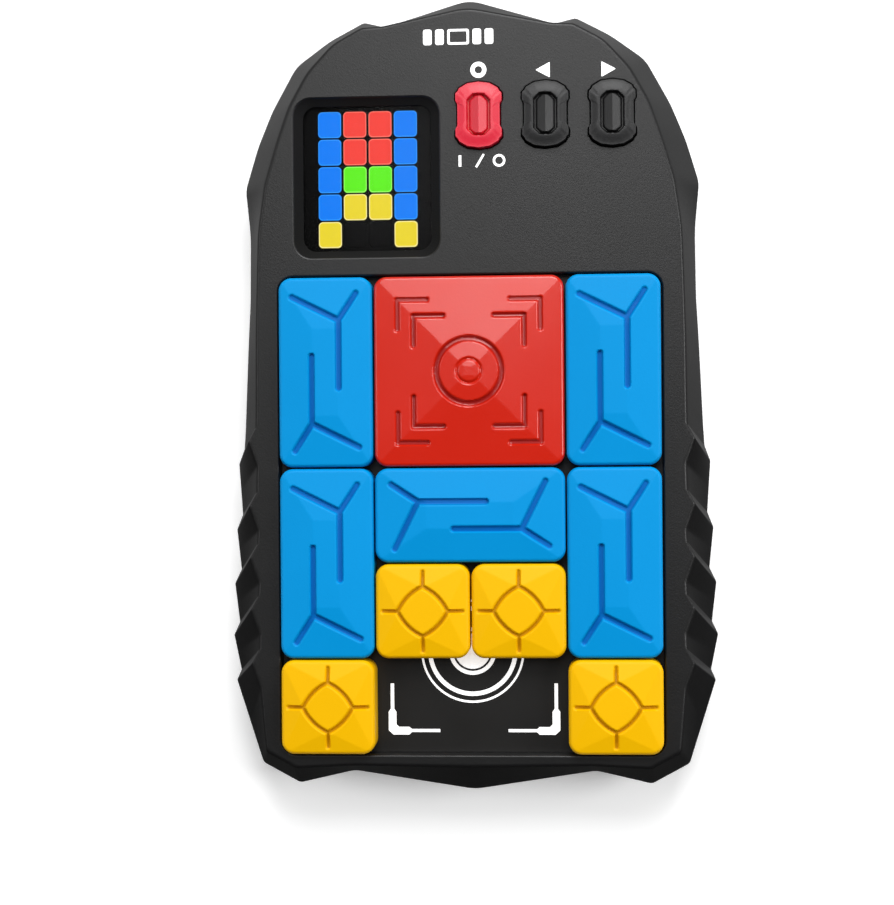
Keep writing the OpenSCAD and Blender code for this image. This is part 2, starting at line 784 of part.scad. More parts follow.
in_well(0, yellow_well_y[0]) magnets(one_place);  // spare_yellow_upper_magnet
in_well(0, yellow_well_y[1]) magnets(one_place);  // spare_yellow_lower_magnet
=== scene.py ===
# %% [markdown]
# # An electronic sliding tile puzzle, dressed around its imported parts
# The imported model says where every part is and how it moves. This lesson adds what a
# person would see and touch: moulded shells, crowned tiles with cut grooves, lit display
# squares, printed marks and a finish for each material, all worked out as arrays.

import math

import bpy
import bmesh
import numpy as np
from mathutils import Matrix, Vector
from mathutils.geometry import delaunay_2d_cdt


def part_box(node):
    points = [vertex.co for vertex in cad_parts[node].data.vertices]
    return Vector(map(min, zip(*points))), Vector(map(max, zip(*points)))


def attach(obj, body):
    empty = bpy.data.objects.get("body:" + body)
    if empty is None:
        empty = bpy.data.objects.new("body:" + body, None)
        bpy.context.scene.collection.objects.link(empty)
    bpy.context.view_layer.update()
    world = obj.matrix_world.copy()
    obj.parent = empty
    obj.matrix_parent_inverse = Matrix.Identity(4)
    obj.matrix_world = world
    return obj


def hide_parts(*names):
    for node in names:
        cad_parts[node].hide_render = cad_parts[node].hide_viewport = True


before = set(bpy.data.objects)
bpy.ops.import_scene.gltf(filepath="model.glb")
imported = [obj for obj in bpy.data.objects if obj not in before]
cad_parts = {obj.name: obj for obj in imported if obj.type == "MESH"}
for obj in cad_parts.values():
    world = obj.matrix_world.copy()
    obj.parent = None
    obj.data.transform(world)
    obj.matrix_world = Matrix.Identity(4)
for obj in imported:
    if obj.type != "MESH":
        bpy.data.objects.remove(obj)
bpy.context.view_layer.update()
MM = 0.001  # the pieces are worked out in millimetres and written in metres

# %% [markdown]
# ## Where things are
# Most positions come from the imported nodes. `corners` gives a node's box in millimetres.

# %% Heights and centres of the main parts
def corners(node):
    """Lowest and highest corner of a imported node, in millimetres."""
    low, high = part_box(node)
    return np.array(low) / MM, np.array(high) / MM


def centre(node):
    """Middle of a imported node's box."""
    low, high = corners(node)
    return (low + high) / 2


FACE_Z, SEAM_Z, BACK_Z = 24.0, 12.2, 0.8
MAT_TOP = corners("tray_mat")[1][2]
BOARD = centre("tray_mat")
print("face at", FACE_Z, "mat at", round(MAT_TOP, 2), "board centre", BOARD.round(2))

# %% [markdown]
# ## Camera
# A product shot is taken from far off, so that the sides of the tiles hardly show. The
# camera looks down on the face from 45 cm, a few degrees from the right. One of its axes
# points back from the board to the camera, and the other two are rolled a little about it.

# %% Place the camera
def look_at_board(turn, roll, distance, aim, focal):
    """Adds a camera `turn` degrees to the right of the face's normal, rolled by `roll` and
    `distance` mm from `aim`. Its focal length is given in image heights."""
    a, r = math.radians(turn), math.radians(roll)
    back = Vector((math.sin(a), 0, math.cos(a)))
    across = Vector((0, 1, 0)).cross(back).normalized()
    upward = back.cross(across)
    right = across * math.cos(r) + upward * math.sin(r)
    top = upward * math.cos(r) - across * math.sin(r)
    data = bpy.data.cameras.new("view_camera")
    data.sensor_width = 36
    data.lens = focal * data.sensor_width
    data.clip_start, data.clip_end = 0.05, 20
    camera = bpy.data.objects.new("view_camera", data)
    bpy.context.scene.collection.objects.link(camera)
    turned = Matrix((right, top, back)).transposed().to_4x4()
    camera.matrix_world = Matrix.Translation((Vector(aim) + back * distance) * MM) @ turned
    bpy.context.scene.camera = camera
    return camera


CAMERA_DISTANCE = 450
VIEW_HEIGHT = 206.947  # how much of the tiles' plane the view takes in, in mm
CROWN_OVER_SIDE = 0.9
side_top = corners("red_tile")[1][2] - CROWN_OVER_SIDE
camera = look_at_board(turn=3.94, roll=-0.45, distance=CAMERA_DISTANCE,
                       aim=(-5.11, BOARD[1] + 14.37, side_top),
                       focal=CAMERA_DISTANCE / VIEW_HEIGHT)
print("lens", round(camera.data.lens, 1), "mm")

# %% [markdown]
# ## Making a mesh from arrays
# A strip joins closed rows of points, as a lathe or an extrusion does. A fill covers a
# flat area with holes in it. A sheet is a grid whose height is a formula. They share their
# edge points, so merging the doubles closes the skin.

# %% Strips, fills and the piece itself
def strip(rows):
    """Faces between closed rows: point i of one row is joined to point i of the next."""
    rows = np.asarray(rows, float)
    count, around = rows.shape[:2]
    here = np.arange(around)
    after = np.roll(here, -1)
    base = np.arange(count - 1)[:, None] * around
    quads = np.stack([base + here, base + after, base + around + after, base + around + here], -1)
    return rows.reshape(-1, 3), quads.reshape(-1, 4)


def at_height(outline, z):
    """A flat outline lifted to a height."""
    return np.column_stack([outline, np.full(len(outline), float(z))])


def inside(outline, points):
    """Whether each point is in an outline: a ray to the right crosses it an odd number of times."""
    a, b = outline, np.roll(outline, -1, 0)
    x, y = points[:, :1], points[:, 1:]
    spans = (a[:, 1] > y) != (b[:, 1] > y)
    rise = np.where(b[:, 1] == a[:, 1], 1, b[:, 1] - a[:, 1])
    crossing = a[:, 0] + (y - a[:, 1]) * (b[:, 0] - a[:, 0]) / rise
    return (spans & (x < crossing)).sum(1) % 2 == 1


def fill(outer, holes, z):
    """Triangles over the area inside one outline and outside the others, at one height."""
    loops = [outer, *holes]
    starts = np.cumsum([0] + [len(p) for p in loops])
    edges = [np.column_stack([s + np.arange(len(p)), s + (np.arange(len(p)) + 1) % len(p)])
             for s, p in zip(starts, loops)]
    made = delaunay_2d_cdt([Vector(p) for p in np.concatenate(loops).tolist()],
                           np.concatenate(edges).tolist(), [], 1, 1e-7)
    points, faces = np.array([tuple(p) for p in made[0]]), np.array(made[2])
    middles = points[faces].mean(1)
    kept = inside(outer, middles)
    for hole in holes:
        kept &= ~inside(hole, middles)
    return at_height(points, z), faces[kept]


def flat(openings, row=0):
    """The outlines of one row of each opening."""
    return [rows[row][:, :2] for rows in openings]


def lid(rows, row=-1, holes=()):
    """A fill over one row of points, at its own height."""
    return fill(rows[row][:, :2], holes, rows[row][0, 2])


def new_piece(name, parts, crease=32, marks=None):
    """One closed object from (points, faces) pairs in millimetres. Edges sharper than `crease`
    degrees stay crisp. `marks` is a value for each point, which a finish can read."""
    starts = np.cumsum([0] + [len(points) for points, _ in parts])
    points = np.concatenate([points for points, _ in parts]) * MM
    faces = [f + s for s, (_, f) in zip(starts, parts)]
    corners_of = np.concatenate([f.ravel() for f in faces])
    sizes = np.concatenate([np.full(len(f), f.shape[1]) for f in faces])
    mesh = bpy.data.meshes.new(name)
    mesh.vertices.add(len(points))
    mesh.vertices.foreach_set("co", points.astype(np.float32).ravel())
    mesh.loops.add(len(corners_of))
    mesh.loops.foreach_set("vertex_index", corners_of.astype(np.int32))
    mesh.polygons.add(len(sizes))
    mesh.polygons.foreach_set("loop_start", np.cumsum([0, *sizes[:-1]]).astype(np.int32))
    if marks is not None:
        mesh.attributes.new("mark", "FLOAT", "POINT").data.foreach_set(
            "value", np.asarray(marks, np.float32))
    mesh.update(calc_edges=True)
    shape = bmesh.new()
    shape.from_mesh(mesh)
    bmesh.ops.remove_doubles(shape, verts=shape.verts, dist=2e-6)
    bmesh.ops.recalc_face_normals(shape, faces=shape.faces)
    open_edges = sum(len(e.link_faces) != 2 for e in shape.edges)
    shape.to_mesh(mesh)
    shape.free()
    mesh.shade_smooth()
    mesh.set_sharp_from_angle(angle=math.radians(crease))
    piece = bpy.data.objects.new(name, mesh)
    bpy.context.scene.collection.objects.link(piece)
    print(f"{name}: {len(mesh.polygons)} faces, {open_edges} open edges")
    return piece


# %% [markdown]
# ## Finishes as expressions
# A shader is arithmetic on values that vary over a surface. The wrapper below lets it be
# written as Python: adding or multiplying two values adds a Math node. Patterns are laid
# on object coordinates, which are metres, so a scale of 2500 gives a 0.4 mm grain.

# %% A value in a shader, and a finish under construction
class Value:
    """An output socket. Its sums and products become Math nodes."""

    def __init__(self, finish, socket):
        self.finish, self.socket = finish, socket

    def with_other(self, operation, first, second):
        return self.finish.node("ShaderNodeMath", {"operation": operation}, {0: first, 1: second})

    def __add__(self, other):
        return self.with_other("ADD", self, other)

    def __mul__(self, other):
        return self.with_other("MULTIPLY", self, other)

    def over(self, low, high):
        """The value's share of the way from low to high, held between 0 and 1."""
        return self.finish.node("ShaderNodeMapRange", {"interpolation_type": "SMOOTHSTEP"},
                                {"Value": self, "From Min": low, "From Max": high})


class Finish:
    """A material with its one Principled shader, and the method that adds any other node."""

    def __init__(self, name, **constants):
        self.material = bpy.data.materials.new(name)
        self.material.use_nodes = True
        self.tree = self.material.node_tree
        self.shader = self.tree.nodes["Principled BSDF"]
        for socket, value in constants.items():
            self.shader.inputs[socket.replace("_", " ")].default_value = value
        self.place = self.node("ShaderNodeTexCoord", {}, {}, "Object")

    def node(self, kind, settings, sockets, output=0):
        """Adds a node, sets it up, then fills its sockets with values or links."""
        made = self.tree.nodes.new(kind)
        for name, value in settings.items():
            setattr(made, name, value)
        for name, value in sockets.items():
            self.put(made.inputs[name], value)
        return Value(self, made.outputs[output])

    def put(self, socket, value):
        if isinstance(value, Value):
            self.tree.links.new(value.socket, socket)
        else:
            socket.default_value = value

    def noise(self, scale, detail=2.0, rough=0.5):
        """Soft random variation from 0 to 1, `scale` bumps to the metre."""
        return self.node("ShaderNodeTexNoise", {}, {"Vector": self.place, "Scale": scale,
                                                    "Detail": detail, "Roughness": rough})

    def blend(self, share, low, high):
        """The colour that is `share` of the way from low to high."""
        return self.node("ShaderNodeMix", {"data_type": "RGBA"},
                         {0: share, 6: low, 7: high}, 2)

    def mark(self):
        """The value that the piece keeps at its own points."""
        return self.node("ShaderNodeAttribute", {"attribute_name": "mark"}, {}, "Fac")

    def bump(self, height, depth, strength=1.0):
        """Feeds the shader's normal with a relief of `depth` metres."""
        made = self.node("ShaderNodeBump", {}, {"Height": height, "Distance": depth,
                                                 "Strength": strength}, "Normal")
        self.put(self.shader.inputs["Normal"], made)

    def feed(self, **sockets):
        for name, value in sockets.items():
            self.put(self.shader.inputs[name.replace("_", " ")], value)
        return self.material


def tint(r, g, b, share=1.0):
    """A colour with its opacity, made darker or lighter by `share`."""
    return (r * share, g * share, b * share, 1.0)

# %% [markdown]
# ## The plastics
# Moulded ABS has a fine spark-eroded grain, slightly uneven gloss and faint clouds in its
# colour. In this recipe the grain is a Noise texture that feeds a Bump node, and slower
# noise moves the colour and the roughness. A mark on the piece darkens its grooves, the
# wells of the buttons and the bevel round the display; that darker colour is painted shade.

# %% One recipe for moulded plastic
def moulded(name, colour, rough, grain=2400, depth=0.00004, clouds=0.12,
            painted_shade=None, dull=0.0, **constants):
    """Plastic with a grain of `grain` bumps to the metre and clouds in its colour. Where the
    piece carries a mark its colour becomes `painted_shade`, which is painted shade, and its
    roughness is higher by `dull`."""
    made = Finish(name, **constants)
    cloud = made.noise(55, 3.0)
    fine = made.noise(grain, 2.0, 0.6)
    low, high = tint(*colour, 1 - clouds), tint(*colour, 1 + clouds)
    shade = made.blend(cloud * 0.7 + fine * 0.3, low, high)
    if painted_shade:
        # painted shade: where the piece carries a mark its colour darkens to the shade colour
        shade = made.blend(made.mark(), shade, tint(*painted_shade))
    made.bump(fine, depth, 0.5)
    gloss = cloud * 0.1 + fine * 0.06 + (rough - 0.08)
    return made.feed(Base_Color=shade, Roughness=made.mark() * dull + gloss if dull else gloss)


BLACK = (0.006, 0.006, 0.0062)
finishes = {
    # Each plastic's second, darker colour below is painted shade for its grooves, button wells or
    # display bevel
    "case": moulded("case_black_abs", BLACK, 0.39, 2600, 0.00006, 0.15,
                    painted_shade=(0.0005, 0.0005, 0.0005), dull=0.6, Specular_IOR_Level=0.36),
    "blue": moulded("tile_blue_abs", (0.0, 0.266, 0.63), 0.45, painted_shade=(0.0, 0.12, 0.42),
                    clouds=0.05, Specular_IOR_Level=0.09),
    "red": moulded("tile_red_abs", (0.55, 0.012, 0.002), 0.24, painted_shade=(0.33, 0.008, 0.006),
                   clouds=0.06, Specular_IOR_Level=0.5),
    "yellow": moulded("tile_yellow_abs", (0.83, 0.45, 0.0), 0.42, painted_shade=(0.52, 0.24, 0.0),
                      clouds=0.04, Specular_IOR_Level=0.1),
    "red_cap": moulded("red_cap_plastic", (0.62, 0.008, 0.032), 0.38,
                       painted_shade=(0.50, 0.008, 0.012)),
    "black_cap": moulded("black_cap_rubber", (0.009, 0.009, 0.0095), 0.42,
                         painted_shade=(0.004, 0.004, 0.004), Specular_IOR_Level=0.35),
    "rubber": moulded("foot_rubber", (0.022, 0.022, 0.022), 0.75, 1800, 0.00005),
    "grid": moulded("light_grid_black", (0.001, 0.001, 0.001), 0.6, 1500, Specular_IOR_Level=0.02),
    "chip": moulded("chip_epoxy", (0.012, 0.012, 0.013), 0.5, 3000),
    "plunger": moulded("plunger_plastic", (0.03, 0.03, 0.032), 0.5),
    "led": moulded("led_phosphor", (0.86, 0.84, 0.6), 0.5),
    "film": moulded("ribbon_film", (0.62, 0.55, 0.36), 0.4, 900),
}
print(len(finishes), "moulded finishes")

# %% [markdown]
# ## Metals, boards and cells
# Rolled sheet shows fine streaks along one direction, so the noise is stretched by a
# Mapping node. Boards have green solder mask over copper tracks, a Brick texture here.

# %% Plated steel, solder mask and printed sleeve
def plated(name, colour, rough, stretch=(1.0, 1.0, 1.0)):
    """Metal whose gloss varies in streaks, longest along the axis with the smallest stretch."""
    made = Finish(name, Metallic=1.0)
    streaks = made.node("ShaderNodeMapping", {}, {"Vector": made.place, "Scale": stretch})
    lines = made.node("ShaderNodeTexNoise", {}, {"Vector": streaks, "Scale": 900.0, "Detail": 3.0})
    stain = made.noise(140, 3.0)
    made.bump(lines, 0.00001, 0.4)
    return made.feed(Base_Color=made.blend(stain, tint(*colour, 0.8), tint(*colour)),
                     Roughness=lines * 0.18 + stain * 0.1 + (rough - 0.1))


def solder_mask():
    """Green lacquer with slightly lighter raised tracks under it."""
    made = Finish("solder_mask")
    tracks = made.node("ShaderNodeTexBrick", {"offset": 0.5},
                       {"Vector": made.place, "Scale": 260.0, "Mortar Size": 0.06}, "Fac")
    made.bump(tracks, 0.00004)
    return made.feed(Base_Color=made.blend(tracks, tint(0.008, 0.11, 0.045), tint(0.02, 0.2, 0.08)),
                     Roughness=made.noise(500) * 0.2 + 0.2)


def cell_sleeve():
    """Shrunk film round each cell: a copper-coloured end and a dark body."""
    made = Finish("cell_sleeve")
    along = made.node("ShaderNodeSeparateXYZ", {}, {"Vector": made.place})
    band = along.over(0.0115, 0.0118)
    shade = made.blend(band, tint(0.02, 0.035, 0.07), tint(0.55, 0.25, 0.07))
    return made.feed(Base_Color=shade, Roughness=made.noise(300) * 0.15 + 0.2,
                     Metallic=band * 0.6)


finishes |= {
    "steel": plated("rolled_steel", (0.62, 0.63, 0.66), 0.35, (1.0, 0.05, 1.0)),
    "nickel": plated("nickel_plate", (0.72, 0.69, 0.62), 0.28),
    "zinc": plated("zinc_plate", (0.6, 0.61, 0.64), 0.34),
    "board": solder_mask(), "cell": cell_sleeve(),
}
print("metals and boards added")

# %% [markdown]
# ## Prints, the lamps and their lens
# The mat is a satin film with fine flecks. A lamp cap glows: its colour is emission, and
# a light border shows where its edge is thinner. The lens over the lamps is smoked
# acrylic, so most of what reaches the eye is the lamps and the rest is its gloss.

# %% Mat, ink, lamp and lens finishes
def lamp(name, colour, border):
    """Lit diffuser: emission of its colour, lighter along the border that its mark picks out."""
    made = Finish(name, Roughness=0.5, Emission_Strength=1.0, Specular_IOR_Level=0.1)
    edge = made.mark()
    even = made.noise(900) * 0.06 + 0.94
    glow = made.blend(edge, tint(*colour), tint(*border))
    dim = made.node("ShaderNodeVectorMath", {"operation": "SCALE"}, {0: glow, "Scale": even})
    return made.feed(Base_Color=made.blend(edge, tint(*colour, 0.03), tint(*colour, 0.1)),
                     Emission_Color=dim)


def ink():
    """White screen print, slightly thin in places. Its emission is painted light: the print glows a
    little, so it stays white where it lies in shade.
    """
    # painted light: the ink glows, though it is no lamp
    made = Finish("white_ink_painted_glow", Roughness=0.6, Emission_Color=(1, 1, 1, 1), Emission_Strength=0.55)
    return made.feed(Base_Color=made.blend(made.noise(700, 3.0), tint(0.75, 0.75, 0.75),
                                           tint(0.95, 0.95, 0.95)))


def lens():
    """Smoked acrylic sheet: mostly clear, with a polished face and faint dust."""
    made = Finish("smoked_lens", Alpha=0.03, IOR=1.49)
    dust = made.noise(1500, 3.0)
    return made.feed(Base_Color=made.blend(dust, tint(0.0, 0.0, 0.0), tint(0.01, 0.01, 0.012)),
                     Roughness=dust * 0.06 + 0.08)


finishes |= {
    "mat": moulded("printed_mat", (0.006, 0.0055, 0.005), 0.42, 3500, 0.00002, 0.3,
                   Specular_IOR_Level=0.35),
    "ink": ink(), "lens": lens(),
    "lamp_blue": lamp("lamp_blue", (0.0, 0.215, 0.98), (0.03, 0.33, 1.0)),
    "lamp_red": lamp("lamp_red", (0.97, 0.056, 0.042), (1.0, 0.2, 0.15)),
    "lamp_green": lamp("lamp_green", (0.12, 0.92, 0.008), (0.35, 1.0, 0.15)),
    "lamp_yellow": lamp("lamp_yellow", (0.88, 0.71, 0.028), (1.0, 0.9, 0.4)),
}
print(len(finishes), "finishes in all")

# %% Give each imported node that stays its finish
KEPT = {
    "mat": ["tray_mat"], "lens": ["display_lens"], "grid": ["light_grid"],
    "board": ["main_board", "sensor_board"], "led": ["led_chips"], "film": ["board_ribbon"],
    "chip": ["board_chips", "hall_sensors"], "cell": ["aaa_cells"], "nickel": ["battery_contacts"],
    "steel": ["button_switches", "tray_steel_plate", "speaker", "spare_steel_plate"],
    "zinc": ["shell_screws", "board_screws", "battery_door_screws"],
    "plunger": ["power_plunger", "previous_plunger", "next_plunger"],
}
KEPT["nickel"] += [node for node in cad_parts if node.endswith(("magnet", "magnets"))]
for finish, nodes in KEPT.items():
    for node in nodes:
        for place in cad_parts[node].material_slots:
            place.material = finishes[finish]
print(sum(map(len, KEPT.values())), "packed nodes keep their shape")


def settle(piece, finish, body, material_slot, *nodes):
    """Gives a new piece its finish and its body, and hides the nodes it stands for."""
    piece.data.materials.append(finishes[finish])
    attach(piece, body)
    if nodes:
        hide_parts(*nodes)
    return piece


# %% [markdown]
# ## Outlines
# The case has five grip teeth on each side and a stepped crown. Its half outline is a list
# of corners, given twice: the widest line at the seam, and the edge of the flat face. Each
# corner becomes a short curve, with as many points in both lists, so the flank between
# them is a strip and its creases run from corner to corner.

# %% Corners of the case, right half from the bottom up
FOOT_RIM = [[0, -93], [28.5, -88.6], [41.5, -91.6], [50.3, -86.8]]
FOOT_EDGE = [[0, -86.0], [27.5, -85.7], [41, -86.3], [47.8, -82.6]]
UPPER_RIM = [[54, -8], [53.1, 13], [52.6, 22], [52.4, 38], [53.5, 49], [50.5, 59], [47, 67.5],
             [41.2, 78], [33, 84], [25, 88.2], [20, 87], [0, 93]]
UPPER_EDGE = [[49.6, -4], [49.5, 13], [49.3, 22], [48.8, 38], [47.1, 49], [44.1, 59],
              [41.4, 66.8], [37.2, 74.3], [31.3, 80.8], [24.5, 84.5], [19.5, 84.8], [0, 88.7]]
RIDGE = np.array([[49.3, -59], [49.4, -46.5], [49.5, -34.5], [49.6, -22.5], [49.7, -7.5]])
NOTCH = np.array([[55.4, -64.8], [55.7, -53.5], [55.2, -41], [54.8, -28], [54.3, -12.5]])
TIP = np.array([[56.5, -67.2], [57.1, -56.5], [56.8, -44.3], [56.2, -31.5], [55.6, -16]])
BELOW_TIP = (TIP + np.vstack([FOOT_RIM[3], NOTCH[:-1]])) / 2
TOOTH_RIM = np.stack([BELOW_TIP, TIP, NOTCH], 1).reshape(-1, 2)
TOOTH_EDGE = np.stack([RIDGE + (-0.3, -9), RIDGE + (1.8, -3.2), RIDGE], 1).reshape(-1, 2)
FOOT_SOFT = [2, 1.2, 0.8, 0.8]
TOOTH_SOFT = [0.6, 0.3, 0.15] * len(TIP)
UPPER_SOFT = [1, 3, 2, 3, 1.5, 2, 2, 2, 2, 0.7, 0.5, 3]


def both_sides(half):
    """The half list, then its mirror image backwards without the two ends."""
    half = np.asarray(half, float)
    return np.concatenate([half, half[-2:0:-1] * (-1, 1)])


def softened(corner, soft, turn_points=7, side_points=5):
    """Each corner becomes a quadratic curve that starts and ends `soft` away from it, and each
    straight run gets points spread along it."""
    before, after = np.roll(corner, 1, 0), np.roll(corner, -1, 0)
    to_before, to_after = before - corner, after - corner
    back_length, on_length = np.linalg.norm(to_before, axis=1), np.linalg.norm(to_after, axis=1)
    start = corner + to_before * np.minimum(soft / back_length, 0.45)[:, None]
    end = corner + to_after * np.minimum(soft / on_length, 0.45)[:, None]
    t = np.linspace(0, 1, turn_points)[None, :, None]
    curve = start[:, None] * (1 - t)**2 + 2 * corner[:, None] * t * (1 - t) + end[:, None] * t**2
    s = np.linspace(0, 1, side_points + 2)[1:-1][None, :, None]
    straight = end[:, None] * (1 - s) + np.roll(start, -1, 0)[:, None] * s
    return np.concatenate([curve, straight], 1).reshape(-1, 2)


def smaller(outline, inset):
    """The case outline drawn in by about `inset` all round, by scaling its width and length."""
    return outline * (1 - inset / 52, 1 - inset / 90)


soft = np.abs(both_sides([[s, 0] for s in [*FOOT_SOFT, *TOOTH_SOFT, *UPPER_SOFT]])[:, 0])
rim = softened(both_sides([*FOOT_RIM, *TOOTH_RIM, *UPPER_RIM]), soft)
edge = softened(both_sides([*FOOT_EDGE, *TOOTH_EDGE, *UPPER_EDGE]), soft)
print(len(rim), "points round the case")


# %% [markdown]
# ## Small outlines
# Openings and caps are rounded rectangles, circles or the shield outline of the buttons.
# Each has the same number of points at any size, so a strip can join two sizes.

# %% Rounded rectangle, circle and shield
def rounded(w, l, r, at=(0, 0), steps=9, side_points=6):
    """Rounded rectangle: four quarter circles of radius r, counterclockwise, with points
    spread along the sides."""
    a = np.linspace(0, math.pi / 2, steps)
    quarters = [np.column_stack([np.cos(a + q), np.sin(a + q)]) * r
                + np.array([sx * (w / 2 - r), sy * (l / 2 - r)])
                for q, sx, sy in ((0, 1, 1), (math.pi / 2, -1, 1), (math.pi, -1, -1),
                                  (1.5 * math.pi, 1, -1))]
    s = np.linspace(0, 1, side_points + 2)[1:-1, None]
    sides = [q[-1] * (1 - s) + n[0] * s for q, n in zip(quarters, quarters[1:] + quarters[:1])]
    return np.concatenate([p for pair in zip(quarters, sides) for p in pair]) + at


def circle(r, at=(0, 0), count=40):
    """Points evenly round a circle."""
    a = np.arange(count) * 2 * math.pi / count
    return np.column_stack([np.cos(a), np.sin(a)]) * r + at


SHIELD = [[4.9, 0], [4.9, 2.6], [5.35, 3.2], [5.35, 5.0], [4.75, 5.5], [4.55, 6.1],
          [2.6, 7.25], [0, 7.6]]
SHIELD_SOFT, SHIELD_HALF = 0.3, 6


def shield(grow=0.0, at=(0, 0)):
    """Outline of a button, larger by about `grow` all round: a straight waist, bulging
    shoulders and a rounded head, the same both ways up and on both sides."""
    quarter = np.array(SHIELD)
    half = np.concatenate([quarter, quarter[-2::-1] * (-1, 1)])
    corner = np.concatenate([half, -half[1:-1]])
    return softened(corner, np.full(len(corner), SHIELD_SOFT), 6, 3) * (1 + grow / SHIELD_HALF) + at


def oblong_rows(w, l, r, at, steps):
    """Rows of a rounded rectangle: each step is (grow, height)."""
    return [at_height(rounded(w + 2 * grow, l + 2 * grow, r + grow, at), z) for grow, z in steps]


def round_rows(at, steps):
    """Rows of a turned shape: each step is (radius, height)."""
    return [at_height(circle(r, at), z) for r, z in steps]


def fillet(radius, top, count=7):
    """Steps (grow, height) of a quarter circle between a flat top and an upright wall."""
    a = np.linspace(0, 1, count) * math.pi / 2
    return [(radius * (1 - math.sin(x)), top - radius * (1 - math.cos(x))) for x in a]


print(len(shield()), "points round a button")

# %% [markdown]
# ## Front shell
# The real shell is one moulding: toothed flanks, a flat face with rounded edges, a sunk
# tray, a bevelled recess for the display and three button holes. Booleans would leave
# ragged shading. Here each wall is a strip that ends exactly on the outline of its
# opening, and the flat face is filled between them.
# The bevel round the display carries a mark, so that its finish is duller there and its colour
# darker, which is painted shade in the recess.
# Only the inside, which is never seen, is plainer than the imported part.

# %% Flank, face and openings of the front shell
FRONT_INSIDE = 18.2
TRAY_SIZE = (88.6, 110.6, 3.5)
TRAY_FLOOR = MAT_TOP - 0.2
BUTTON_PLAY = 0.22
WINDOW = centre("display_lens")[:2]
LENS_TOP = corners("display_lens")[1][2]
BUTTONS = [centre(f"{name}_button_cap")[:2] for name in ("power", "previous", "next")]


def curve_rows(first, control, last, count=7):
    """Rows on quadratic curves: each point starts at its place in the first row, leans towards
    the control row and ends in the last."""
    t = np.linspace(0, 1, count)[:, None, None]
    return list(first * (1 - t)**2 + 2 * control * t * (1 - t) + last * t**2)


SEAM_STEPS = [(2.0, 0.0), (0.5, 0.0), (0.5, 0.3), (0.15, 0.3)]
SEAM_LIP = 0.42
low_rim = at_height(rim, SEAM_Z + SEAM_LIP)
high_edge = at_height(edge, FACE_Z)
flank = [low_rim * (1 - s) + high_edge * s for s in np.linspace(0, 0.93, 12)]
wall_inside = smaller(rim * 0.49 + edge * 0.51, 2.2)
face_edge = at_height(smaller(edge, 0.6), FACE_Z)
rows = [at_height(wall_inside, FRONT_INSIDE)]
rows += [at_height(smaller(rim, inset), SEAM_Z + rise) for inset, rise in SEAM_STEPS]
rows += flank + curve_rows(flank[-1], high_edge, face_edge)[1:]
rows += [at_height(smaller(edge, 0.8), FACE_Z)]

tray_rows = oblong_rows(*TRAY_SIZE, BOARD[:2],
                        [(0.6, FACE_Z), *fillet(0.4, FACE_Z), (0, TRAY_FLOOR)])
window_edge = [at_height(rounded(*size, WINDOW), z) for *size, z in (
    (34.9, 37.9, 4.6, FACE_Z), (34.6, 37.6, 4.5, FACE_Z), (34.1, 37.15, 4.3, FACE_Z - 0.1),
    (33.6, 36.75, 4.1, FACE_Z - 0.42), (30.6, 34.3, 3.3, LENS_TOP + 0.42),
    (30.0, 33.8, 3.05, LENS_TOP + 0.25), (29.8, 33.6, 3.0, LENS_TOP + 0.05),
    (35.2, 38.2, 5.5, LENS_TOP + 0.05), (35.2, 38.2, 5.5, FRONT_INSIDE))]
button_steps = [(0.28, FACE_Z), *fillet(0.2, FACE_Z), (0, 22), (0.6, 22), (0.6, FRONT_INSIDE)]
button_rows = [[at_height(shield(BUTTON_PLAY + grow, at), z) for grow, z in button_steps]
               for at in BUTTONS]
openings = [tray_rows, window_edge, *button_rows]
parts = [strip(rows), *map(strip, openings), lid(rows, -1, flat(openings)),
         lid(rows, 0, flat(openings[1:], -1)), lid(tray_rows)]
counts = [len(points) for points, _ in parts]
around = len(window_edge[0])
shaded_bevel_start = sum(counts[:2]) + 3 * around
# painted shade: the bevel's rows carry the mark that darkens the case colour there
marks = np.zeros(sum(counts))
marks[shaded_bevel_start:shaded_bevel_start + 4 * around] = 1
case_front = new_piece("case_front", parts, 17, marks)
settle(case_front, "case", "console", "black_abs", "front_shell")

# %% [markdown]
# ## Back shell
# The back has the same rim and a chamfered foot. Four wells hold the spare tiles, each
# with a half-round scoop for a fingertip. There is a recess and a bay for the cells,
# seven screw holes, four sockets for the feet and a small grille for the sounder.

# %% Wells with finger scoops
WELL_PLAY = 0.3
SCOOP_R, SCOOP_Z = 7.0, 5.8
BACK_INSIDE, WELL_TOP = 7.2, 9.6


def well(w, l, at, turn, grow, scoop):
    """A tile's rectangle, its right-hand side bulging into a half circle if `scoop`, turned by
    quarter turns and moved to its place."""
    p = rounded(w + 2 * grow, l + 2 * grow, 3 + grow, side_points=40)
    if scoop:
        side = (p[:, 0] > w / 2 + grow - 1e-6) & (np.abs(p[:, 1]) < SCOOP_R)
        a = p[side, 1] / SCOOP_R * math.pi / 2
        p[side] = np.column_stack([np.cos(a), np.sin(a)]) * SCOOP_R + (w / 2 + grow, 0)
    c, s = round(math.cos(turn)), round(math.sin(turn))
    return p @ np.array([[c, s], [-s, c]]) + at


def well_rows(node, turn):
    """Rows of one well, from its rounded mouth past the scoop's ceiling to its own ceiling."""
    low, high = corners(node)
    w, l = (high - low)[:2] + 2 * WELL_PLAY
    at = centre(node)[:2]
    mouth = [(grow, 2 * BACK_Z - z, True) for grow, z in fillet(0.4, BACK_Z, count=5)]
    steps = [(0.5, BACK_Z, True), *mouth,
             (0, SCOOP_Z, True), (0, SCOOP_Z, False), (0, WELL_TOP, False)]
    return [at_height(well(w, l, at, turn, grow, scoop), z) for grow, z, scoop in steps]


